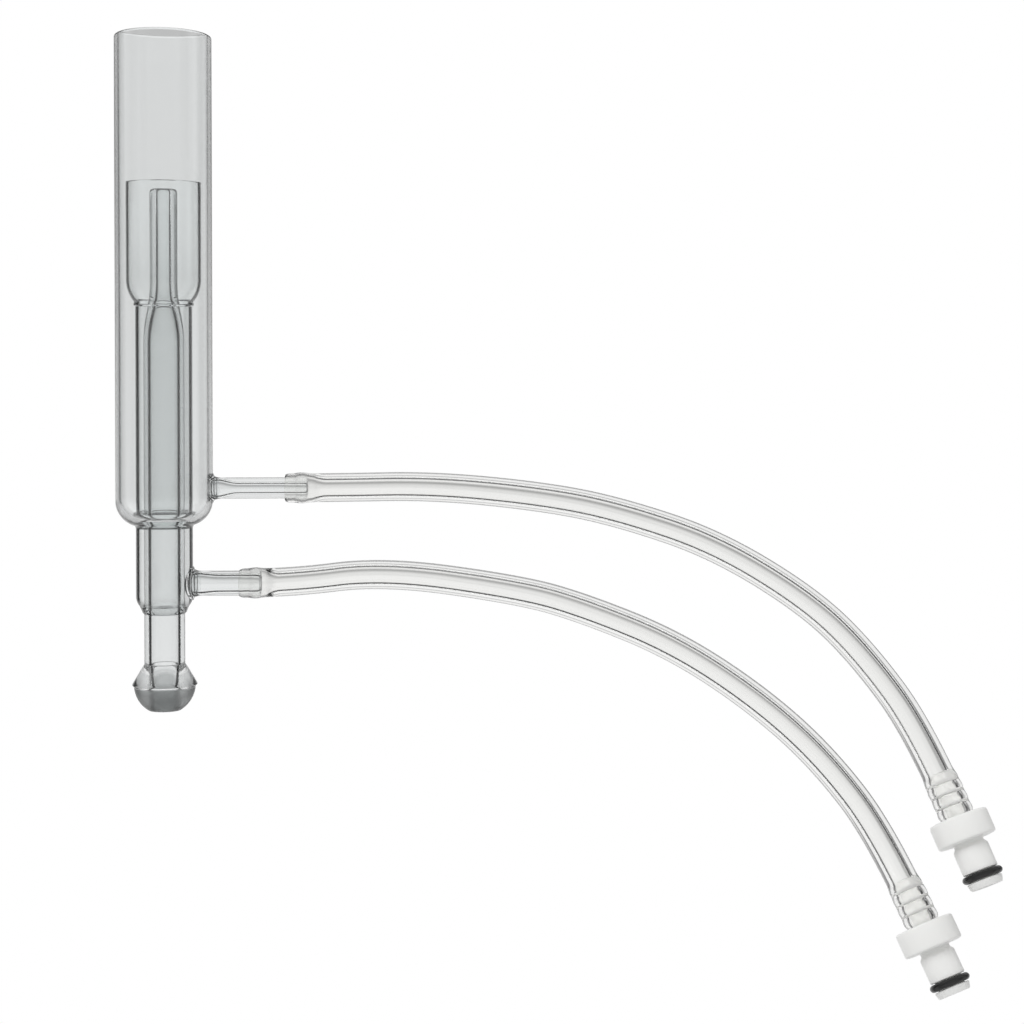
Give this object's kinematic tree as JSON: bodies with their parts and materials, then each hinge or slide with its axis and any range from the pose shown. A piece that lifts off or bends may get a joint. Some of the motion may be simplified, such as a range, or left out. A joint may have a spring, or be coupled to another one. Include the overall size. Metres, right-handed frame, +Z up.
{
  "type": "quartz plasma torch with gas hoses",
  "caption": "Plasma torch of concentric fused quartz tubes on a ground ball joint, with side gas arms, clear push-on hoses and white plug-in hose connectors.",
  "frame": {"origin": "centre of the ball joint's ground sphere, on the torch's axis", "axes": "+Z up the torch's axis to the open end of the outer tube, +X along both side gas arms, -Y to the front"},
  "size_m": [0.1708, 0.0663, 0.1846],
  "materials": {
    "fused_quartz": "fire-polished, clear",
    "ground_quartz": "fine ground below the ridge",
    "clear_hose": "smooth extruded clear plasticised vinyl",
    "white_plastic": "natural moulded acetal, satin",
    "black_rubber": "moulded O-ring, lightly greased"
  },
  "bodies": {
    "torch": {"outer_tube": "fused_quartz", "outer_seal_ring": "fused_quartz", "intermediate_tube": "fused_quartz", "intermediate_seal_ring": "fused_quartz", "intermediate_stem": "fused_quartz", "inner_seal_ring": "fused_quartz", "injector_capillary": "fused_quartz", "injector_barrel": "fused_quartz", "neck_tube": "fused_quartz", "ball_joint": "ground_quartz", "plasma_gas_arm": "fused_quartz", "plasma_arm_weld": "fused_quartz", "auxiliary_gas_arm": "fused_quartz", "auxiliary_arm_weld": "fused_quartz"},
    "plasma_line": {"plasma_hose": "clear_hose", "plasma_connector": "white_plastic", "plasma_connector_seal": "black_rubber"},
    "auxiliary_line": {"auxiliary_hose": "clear_hose", "auxiliary_connector": "white_plastic", "auxiliary_connector_seal": "black_rubber"}
  },
  "joints": [
    {"name": "plasma_hose_turn", "type": "hinge", "parent": "torch", "child": "plasma_line", "pos_m": [0.0253, 0, 0.0407], "axis": [1, 0, 0], "range_deg": [-90, 90]},
    {"name": "auxiliary_hose_turn", "type": "hinge", "parent": "torch", "child": "auxiliary_line", "pos_m": [0.0157, 0, 0.0209], "axis": [1, 0, 0], "range_deg": [-30, 90]}
  ]
}
